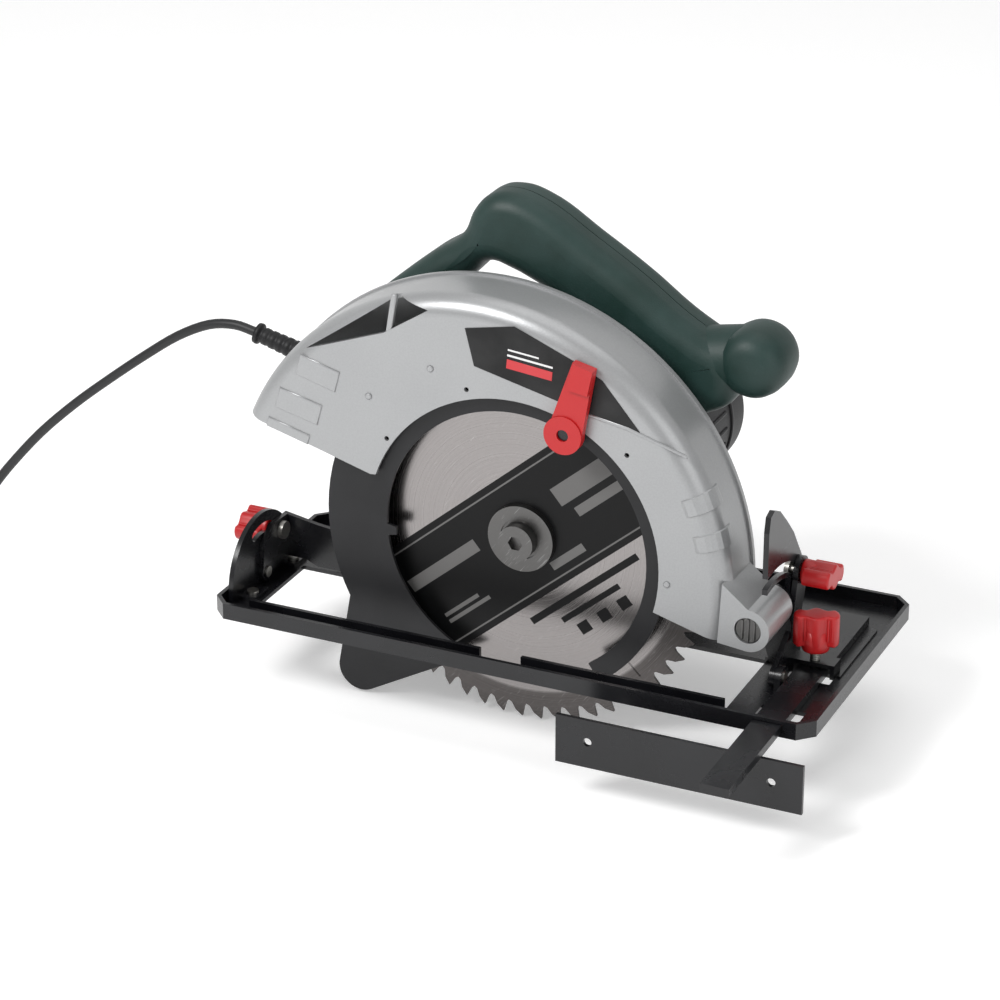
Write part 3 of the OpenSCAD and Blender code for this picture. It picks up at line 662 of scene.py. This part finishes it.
class SAW_OT_handle(bpy.types.Operator):
    """Builds the two halves of the closed-loop handle and the rounded front knob"""
    bl_idname = "saw.handle"
    bl_label = "Handle"

    def execute(self, context):
        outline = [(-158, 47), (-160, 69), (-135, 98), (-111, 121), (-81, 146), (-60, 162), (-53, 177),
                   (-45, 186), (-33, 190), (-15, 187), (20, 167.5), (51, 148.5), (76, 131), (92, 122),
                   (108, 114), (110, 88), (86, 70), (64, 40), (30, -19), (-30, 6), (-60, 28), (-110, 36)]
        gap = [(-52, 139), (-88, 99), (-98, 82), (-92, 70), (-24, 66), (0, 70), (30, 82), (56, 88), (60, 94),
               (-36, 147), (-45, 146)]
        rounding = sizes().handle_round / MM
        whole = bmesh.new()
        plate(whole, [outline, gap], 20, rounding, side_view(HANDLE_MIDDLE))
        seam = sizes().handle_seam / 2
        for name, node, direction in (
                ("handle_left", "handle_shell_left", 1), ("handle_right", "handle_shell_right", -1)):
            half = whole.copy()
            bmesh.ops.bisect_plane(
                half, geom=half.verts[:] + half.edges[:] + half.faces[:], dist=1e-6,
                plane_co=at(0, HANDLE_MIDDLE, 0) - Vector((0, direction * seam, 0)),
                plane_no=Vector((0, direction, 0)), clear_outer=True)
            add_piece(name, "saw_unit", mesh_from(half, name), grip_rubber(), [node])
        whole.free()
        grip = [(0, 36), (9, 36.4), (13.6, 38), (17.2, 41), (19.5, 45.5), (20.6, 51), (20.8, 58), (20.6, 65),
                (19.5, 70.5), (17.2, 75), (13.6, 78), (9, 79.6), (0, 80)]
        bm = turned(bmesh.new(), grip, at(120, 0, 110), Vector((0, 1, 0)), 64)
        neck = [(0, -14), (12, -13), (17.5, -8), (19.2, 0), (19.6, 12), (19.8, 22), (20, 30), (19, 36),
                (15, 42), (0, 46)]
        turned(bm, neck, at(86, HANDLE_MIDDLE, 104), Vector((36, 0, 6)), 64)
        add_piece("front_knob", "saw_unit", mesh_from(bm, "front_knob"), grip_rubber(),
                  ["front_grip"])
        return {"FINISHED"}


def wing_knob(name, body, node, axis, wing, reach, hub=7.5, wide=4.6, bare=0.0):
    """Moulded wing knob: rounded wings with grip ribs on a turned hub.

    bare is the length of stud left below it.
    """
    low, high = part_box(node)
    middle = (low + high) / 2
    span = abs((high - low).dot(axis))
    foot = middle - axis * (span / 2 - bare * MM)
    span -= bare * MM
    wing = wing.normalized()
    across = axis.cross(wing)
    tall = span / MM
    waist_x, waist_y = reach * 0.55, wide * 0.92
    outline = [(-reach, -wide), (-waist_x, -waist_y), (0, -hub), (waist_x, -waist_y), (reach, -wide),
               (reach, wide), (waist_x, waist_y), (0, hub), (-waist_x, waist_y), (-reach, wide)]
    bm = bmesh.new()
    plate(bm, [outline], tall * 0.42, 1.3, basis(foot + axis * span * 0.56, wing, across, axis),
          steps=4, resolution=4)
    turned(bm, [(0, 0.2), (hub * 0.95, 0.2), (hub, 1.2), (hub * 0.9, tall * 0.55), (0, tall * 0.6)],
           foot, axis, 40)
    ribs = sizes().knob_ribs
    for side in (-1, 1):
        for k in range(ribs):
            along = side * (reach - 2.0 - k * 2.4)
            for face in (-1, 1):
                spot = foot + wing * along * MM + across * face * (wide - 0.2) * MM
                turned(bm, rounded_ends(0.7, tall * 0.3, tall * 0.93, 0.5), spot, axis, 12)
    return add_piece(name, body, mesh_from(bm, name), red_moulding(), [node])


class SAW_OT_knobs(bpy.types.Operator):
    """Builds the three red wing knobs that lock the bevel and the fence"""
    bl_idname = "saw.knobs"
    bl_label = "Wing Knobs"

    def execute(self, context):
        def turn(angle):
            return math.cos(math.radians(angle)), math.sin(math.radians(angle))
        c, s = turn(80)
        wing_knob("front_wing_knob", "front_bevel_knob", "front_bevel_knob", Vector((1, 0, 0)),
                  Vector((0, s, -c)), 12.3)
        c, s = turn(70)
        wing_knob("rear_wing_knob", "rear_bevel_knob", "rear_bevel_knob", Vector((-1, 0, 0)),
                  Vector((0, s, c)), 10.8)
        c, s = turn(20)
        wing_knob("fence_wing_knob", "fence_clamp_knob", "fence_clamp_knob", Vector((0, 0, 1)),
                  Vector((c, s, 0)), 11, hub=8.2, wide=5.2, bare=9.7)
        low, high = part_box("fence_clamp_knob")
        foot = Vector(((low.x + high.x) / 2, (low.y + high.y) / 2, low.z))
        grooves = [(0, 0), (3, 0)]
        for k in range(9):
            grooves += [(3, 0.4 + k * 1.1), (2.6, 0.8 + k * 1.1), (3, 1.2 + k * 1.1)]
        stud = turned(bmesh.new(), grooves + [(3, 11), (0, 11)], foot, Vector((0, 0, 1)), 24)
        add_piece("fence_stud", "fence_clamp_knob", mesh_from(stud, "fence_stud"), zinc())
        return {"FINISHED"}


def raised_plate(bm, outline, height):
    """Adds a low cast plate that stands off the guard's flat face."""
    plate(bm, [outline], height, 0.7, side_view(NEAR_FACE), smooth=False, steps=2)


def rim_pad(bm, low, high, lift=0.9):
    """Adds a pad that wraps over the guard's rounded rim between two angles about its centre."""
    core = GUARD_RADIUS - GUARD_FILLET
    sunk = -0.4  # the pad's border lies this far inside the casting
    bend = [(math.sin(math.radians(t)), math.cos(math.radians(t))) for t in range(0, 91, 15)]
    path = [(core - 5, NEAR_FACE), (core - 2, NEAR_FACE)] + [
        (core + GUARD_FILLET * s, NEAR_FACE + GUARD_FILLET * (1 - c)) for s, c in bend] + [
        (GUARD_RADIUS, -2), (GUARD_RADIUS, 1)]
    outward = [(0, -1), (0, -1)] + [(s, -c) for s, c in bend] + [(1, 0), (1, 0)]
    cuts = [low, low + 0.3, (low + high) / 2, high - 0.3, high]
    rise = [sunk, lift, lift, lift, sunk]
    last = len(path) - 1
    grid = []
    for angle, up in zip(cuts, rise):
        row = []
        for k, ((r, y), (nr, ny)) in enumerate(zip(path, outward)):
            tall = sunk if k in (0, last) else up
            radius = r + nr * tall
            x = GUARD_AXIS[0] + radius * math.cos(math.radians(angle))
            z = GUARD_AXIS[1] + radius * math.sin(math.radians(angle))
            row.append(bm.verts.new(at(x, y + ny * tall, z)))
        grid.append(row)
    for a, b in zip(grid, grid[1:]):
        for k in range(last):
            bm.faces.new((a[k], a[k + 1], b[k + 1], b[k]))


class SAW_OT_upper_guard(bpy.types.Operator):
    """Finishes the cast upper guard and builds the details cast on it"""
    bl_idname = "saw.upper_guard"
    bl_label = "Upper Guard"

    def execute(self, context):
        finish_nodes(guard_paint(), "upper_guard")
        soften("upper_guard", factor=1.2)

        steps = bmesh.new()
        for left, right, fall in (((-134, 97.5), (-108.5, 90.3), 13), ((-148, 74.3), (-120.5, 67.5), 13),
                                  ((-156, 54.3), (-129, 47), 6)):
            lean = -0.26 * fall
            below = [(x + lean, z - fall) for x, z in (right, left)]
            raised_plate(steps, [left, right, *below], 0.9)
        raised_plate(steps, [(47, 92.6), (72, 88.4), (107, 77.6), (107.4, 75.6), (71, 86.2), (47, 90.6)], 0.8)
        for x, z in ((-50.6, 102.5), (-90.2, 78.6), (96.7, -4)):
            turned(steps, rounded_ends(2.0, -0.4, 1.0, 0.9), at(x, NEAR_FACE, z), Vector((0, -1, 0)), 20)
        for low, high in ((20.6, 25.0), (12.0, 16.2)):
            rim_pad(steps, low, high)
        add_piece("guard_castings", "saw_unit", mesh_from(steps, "guard_castings"), guard_paint(),
                  smooth=False)

        post = bmesh.new()
        plate(post, [[(-75.2, 143.5), (-71.8, 143.5), (-75.4, 120.5), (-79, 120)]], 2.0, 0.8,
              side_view(-15.2), smooth=False)
        add_piece("chute_post", "saw_unit", mesh_from(post, "chute_post"), guard_paint())

        cap = bmesh.new()
        x, z = 146, -23
        turned(cap, rounded_ends(7.7, 0, 2.2, 0.4), at(x, -14.1, z), Vector((0, -1, 0)), 40)
        for offset in (-3.6, 0, 3.6):
            reach = math.sqrt(7.0 ** 2 - offset ** 2)
            left, right = x + offset - 0.8, x + offset + 0.8
            bar = [(left, z - reach), (right, z - reach), (right, z + reach), (left, z + reach)]
            plate(cap, [bar], 0.7, 0.4, side_view(-16.6), smooth=False)
        add_piece("pivot_cap", "saw_unit", mesh_from(cap, "pivot_cap"), dark_steel(),
                  smooth=False)
        return {"FINISHED"}


def label_bars(name, material, outlines):
    """Adds thin plain bars that stand just off the label."""
    bm = bmesh.new()
    for outline in outlines:
        plate(bm, [outline], 0.16, 0.08, side_view(NEAR_FACE - 0.42), smooth=False)
    add_piece(name, "saw_unit", mesh_from(bm, name), material, smooth=False)


class SAW_OT_label(bpy.types.Operator):
    """Finishes the black label and draws plain bars in place of print"""
    bl_idname = "saw.label"
    bl_label = "Label"

    def execute(self, context):
        finish_nodes(label_ink("Label black", tone(15, 15, 16), 0.45, 0.03, specular=0.3), "guard_label")
        label_bars("label_red_bar", label_ink("Label red", tone(196, 44, 50), 0.35, 0.04), [
            [(-3, 111.2), (25, 108.2), (25.5, 113.6), (-2.5, 116.8)]])
        label_bars("label_pale_bars", label_ink("Label white", tone(225, 225, 225), 0.4, 0.04), [
            [(-2.4, 118.6), (25.6, 115.6), (25.7, 116.8), (-2.3, 119.8)],
            [(-2.0, 122.0), (17.0, 120.0), (17.1, 121.0), (-1.9, 123.0)]])
        return {"FINISHED"}


def blade_steel():
    """Ground steel with a dark outer ring, a black band across it and plain bars in place of print."""
    if "Blade" in bpy.data.materials:
        return bpy.data.materials["Blade"]
    material, n, shader, relief = start_material("Blade", metallic=1.0, bump=0.06, specular=0.25)
    ring_inside = 0.0985  # radius where the dark outer ring begins
    band_half = 0.036
    line_off = 0.0315  # thin lines, this far from the band's middle
    place = n.add("ShaderNodeTexCoord").outputs["Object"]
    hub = n.add("ShaderNodeVectorMath", {0: place, 1: tuple(-ARBOR)}, operation="ADD").outputs[0]
    split = n.add("ShaderNodeSeparateXYZ", {0: hub}).outputs
    x, z = split[0], split[2]
    squared = n.math("ADD", n.math("MULTIPLY", x, x), n.math("MULTIPLY", z, z))
    radius = n.math("SQRT", squared)
    rings = n.add("ShaderNodeTexNoise", {"W": n.math("MULTIPLY", radius, 1400.0), "Scale": 1.0, "Detail": 3.0},
                  noise_dimensions="1D").outputs["Fac"]
    outer = n.ramp(radius, ring_inside, 0.1005)
    steel = n.mix(n.ramp(rings, 0.3, 0.7), tuple(colours().blade), tone(143, 139, 138))
    ring_steel = n.mix(n.ramp(rings, 0.3, 0.7), tone(100, 96, 95), tone(86, 83, 82))
    base = n.mix(outer, steel, ring_steel)
    # the band runs 40 degrees up to the front
    c, s = math.cos(math.radians(40)), math.sin(math.radians(40))
    along = n.math("ADD", n.math("MULTIPLY", x, c), n.math("MULTIPLY", z, s))
    over = n.math("SUBTRACT", n.math("MULTIPLY", z, c), n.math("MULTIPLY", x, s))
    inside = n.math("MULTIPLY", n.math("LESS_THAN", n.math("ABSOLUTE", over), band_half),
                    n.math("LESS_THAN", radius, ring_inside))

    def near(value, centre, half):
        return n.math("LESS_THAN", n.math("ABSOLUTE", n.math("SUBTRACT", value, centre)), half)

    def bar(centre, low, high, half):
        row = near(over, centre, half)
        return n.math("MULTIPLY", row, near(along, (low + high) / 2, (high - low) / 2))

    line = near(n.math("ABSOLUTE", over), line_off, 0.0005)
    bars = 0.0
    for place_and_size in ((0.0105, -0.086, -0.030, 0.0040), (-0.0150, -0.078, -0.050, 0.0012),
                           (-0.0195, -0.078, -0.044, 0.0012), (0.0085, 0.034, 0.078, 0.0060),
                           (-0.0050, 0.040, 0.078, 0.0030), (-0.0240, 0.004, 0.030, 0.0026)):
        bars = n.math("MAXIMUM", bars, bar(*place_and_size))
    dark_bars = 0.0
    for place_and_size in ((-0.0450, -0.030, 0.056, 0.0022), (-0.0540, -0.012, 0.034, 0.0018),
                           (-0.0640, -0.006, 0.002, 0.0036), (-0.0640, 0.010, 0.018, 0.0036),
                           (-0.0640, 0.026, 0.034, 0.0036)):
        dark_bars = n.math("MAXIMUM", dark_bars, bar(*place_and_size))
    light_print = n.math("MULTIPLY", n.math("MAXIMUM", bars, line), inside)
    ink = n.mix(light_print, tone(11, 11, 12), tone(104, 103, 102))
    mark = n.math("MAXIMUM", inside, dark_bars)
    scratched = n.add("ShaderNodeGroup", {"Size": 90.0, "Amount": 0.3}, node_tree=scratch_group())
    shown = n.mix(mark, n.mix(scratched.outputs["Mask"], base, (0.55, 0.54, 0.53, 1)), ink)
    n.tree.links.new(shown, shader.inputs["Base Color"])
    n.tree.links.new(n.math("SUBTRACT", 1.0, n.math("MULTIPLY", mark, 0.85)), shader.inputs["Metallic"])
    rough = n.math("ADD", n.math("MULTIPLY", outer, 0.1), n.ramp(rings, 0.2, 0.8, 0.20, 0.30))
    n.tree.links.new(n.math("MULTIPLY_ADD", mark, 0.15, rough), shader.inputs["Roughness"])
    n.tree.links.new(rings, relief.inputs["Height"])
    return material


class SAW_OT_blade(bpy.types.Operator):
    """Finishes the blade, its flanges and the arbor bolt"""
    bl_idname = "saw.blade"
    bl_label = "Blade and Arbor"

    def execute(self, context):
        finish_nodes(blade_steel(), "saw_blade")
        finish_nodes(dark_steel(), "outer_flange", "inner_flange", "spindle_gear", "arbor_bolt")
        finish_nodes(zinc(), "spindle")
        soften("outer_flange", "arbor_bolt", "inner_flange", factor=1.2, segments=3)
        return {"FINISHED"}


class SAW_OT_lower_guard(bpy.types.Operator):
    """Finishes the swinging lower guard and its red lever"""
    bl_idname = "saw.lower_guard"
    bl_label = "Lower Guard"

    def execute(self, context):
        finish_nodes(lower_black(), "lower_guard")
        finish_nodes(red_moulding(), "guard_lever")
        finish_nodes(black_steel(), "lever_screw")
        soften("lower_guard", factor=0.7)
        soften("guard_lever", factor=2.0, segments=3)
        return {"FINISHED"}


class SAW_OT_base(bpy.types.Operator):
    """Finishes the sole, the quadrants, the hinge and the tilt brackets"""
    bl_idname = "saw.base"
    bl_label = "Base and Brackets"

    def execute(self, context):
        names = ("base_plate", "front_bevel_quadrant", "rear_bevel_quadrant", "fence_clamp_bridge",
                 "front_tilt_bracket", "rear_tilt_bracket", "depth_quadrant")
        finish_nodes(black_steel(), *names)
        soften(*names)
        fixings = ("quadrant_rivets", "bevel_hinge_pins", "bevel_bolts", "depth_pivot_pin", "depth_lock_bolt")
        finish_nodes(zinc(), *fixings)
        soften(*fixings, factor=0.8)
        finish_nodes(red_moulding(), "depth_lock_lever")
        soften("depth_lock_lever", factor=1.6, segments=3)
        return {"FINISHED"}


class SAW_OT_fence(bpy.types.Operator):
    """Finishes the rip fence"""
    bl_idname = "saw.fence"
    bl_label = "Rip Fence"

    def execute(self, context):
        finish_nodes(black_steel(), "fence_arm", "fence_plate")
        soften("fence_arm", factor=1.7)
        soften("fence_plate", factor=0.8)
        return {"FINISHED"}


class SAW_OT_motor(bpy.types.Operator):
    """Finishes the motor, the gear case and what runs inside them"""
    bl_idname = "saw.motor"
    bl_label = "Motor and Drive"

    def execute(self, context):
        finish_nodes(black_plastic(), "motor_housing", "motor_end_cap", "brush_caps", "switch_body",
                     "cooling_fan", "spindle_lock_button")
        finish_nodes(guard_paint(), "gear_case")
        finish_nodes(zinc(), "housing_screws", "bearings", "armature_shaft")
        finish_nodes(laminate(), "armature_core", "field_stator")
        finish_nodes(copper(), "commutator")
        finish_nodes(red_moulding(), "trigger", "lock_off_button")
        soften("motor_end_cap", "motor_housing", "gear_case", factor=2.4, segments=3)
        cooling = bmesh.new()
        x, z = MOTOR_AXIS
        along = Vector((0, 1, 0))
        for y in (84, 90, 154):
            hoop = [(44.8, y), (46.6, y), (47.2, y + 0.6), (47.2, y + 2.4), (46.6, y + 3), (44.8, y + 3),
                    (44.8, y)]
            turned(cooling, hoop, at(x, 0, z), along, 96)
        ribs = 28
        for k in range(ribs):
            turn = 2 * math.pi * k / ribs
            turned(cooling, rounded_ends(1.3, 98, 148, 1.0),
                   at(x + 46.0 * math.cos(turn), 0, z + 46.0 * math.sin(turn)), along, 12)
        bmesh.ops.remove_doubles(cooling, verts=cooling.verts, dist=1e-7)
        add_piece("motor_ribs", "saw_unit", mesh_from(cooling, "motor_ribs"), black_plastic())
        soften("brush_caps", "housing_screws", "trigger", "lock_off_button", "spindle_lock_button", factor=1.5)
        return {"FINISHED"}


STEPS = (
    SAW_OT_stage, SAW_OT_cord, SAW_OT_cord_sleeve, SAW_OT_handle, SAW_OT_knobs, SAW_OT_upper_guard,
    SAW_OT_label, SAW_OT_blade, SAW_OT_lower_guard, SAW_OT_base, SAW_OT_fence, SAW_OT_motor)


class SAW_PT_panel(bpy.types.Panel):
    """Sizes, colours and building steps of the circular saw"""
    bl_label = "Circular Saw"
    bl_idname = "SAW_PT_panel"
    bl_space_type = "VIEW_3D"
    bl_region_type = "UI"
    bl_category = "Saw"

    def draw(self, context):
        layout = self.layout
        for title, group in (("Sizes", context.scene.saw_sizes), ("Colours", context.scene.saw_colours),
                             ("Stage", context.scene.saw_stage)):
            box = layout.box()
            box.label(text=title)
            for key in group.bl_rna.properties.keys():
                if key not in ("rna_type", "name"):
                    box.prop(group, key)
        for step in STEPS:
            layout.operator(step.bl_idname)


CLASSES = (SawSizes, SawColours, SawStage, *STEPS, SAW_PT_panel)


def register():
    for cls in CLASSES:
        bpy.utils.register_class(cls)
    bpy.types.Scene.saw_sizes = PointerProperty(type=SawSizes)
    bpy.types.Scene.saw_colours = PointerProperty(type=SawColours)
    bpy.types.Scene.saw_stage = PointerProperty(type=SawStage)


def unregister():
    del bpy.types.Scene.saw_stage
    del bpy.types.Scene.saw_colours
    del bpy.types.Scene.saw_sizes
    for cls in reversed(CLASSES):
        bpy.utils.unregister_class(cls)


def main():
    register()
    bpy.ops.saw.stage()
    bpy.ops.saw.cord()
    bpy.ops.saw.cord_sleeve()
    bpy.ops.saw.handle()
    bpy.ops.saw.knobs()
    bpy.ops.saw.upper_guard()
    bpy.ops.saw.label()
    bpy.ops.saw.blade()
    bpy.ops.saw.lower_guard()
    bpy.ops.saw.base()
    bpy.ops.saw.fence()
    bpy.ops.saw.motor()


if __name__ == "__main__":
    main()
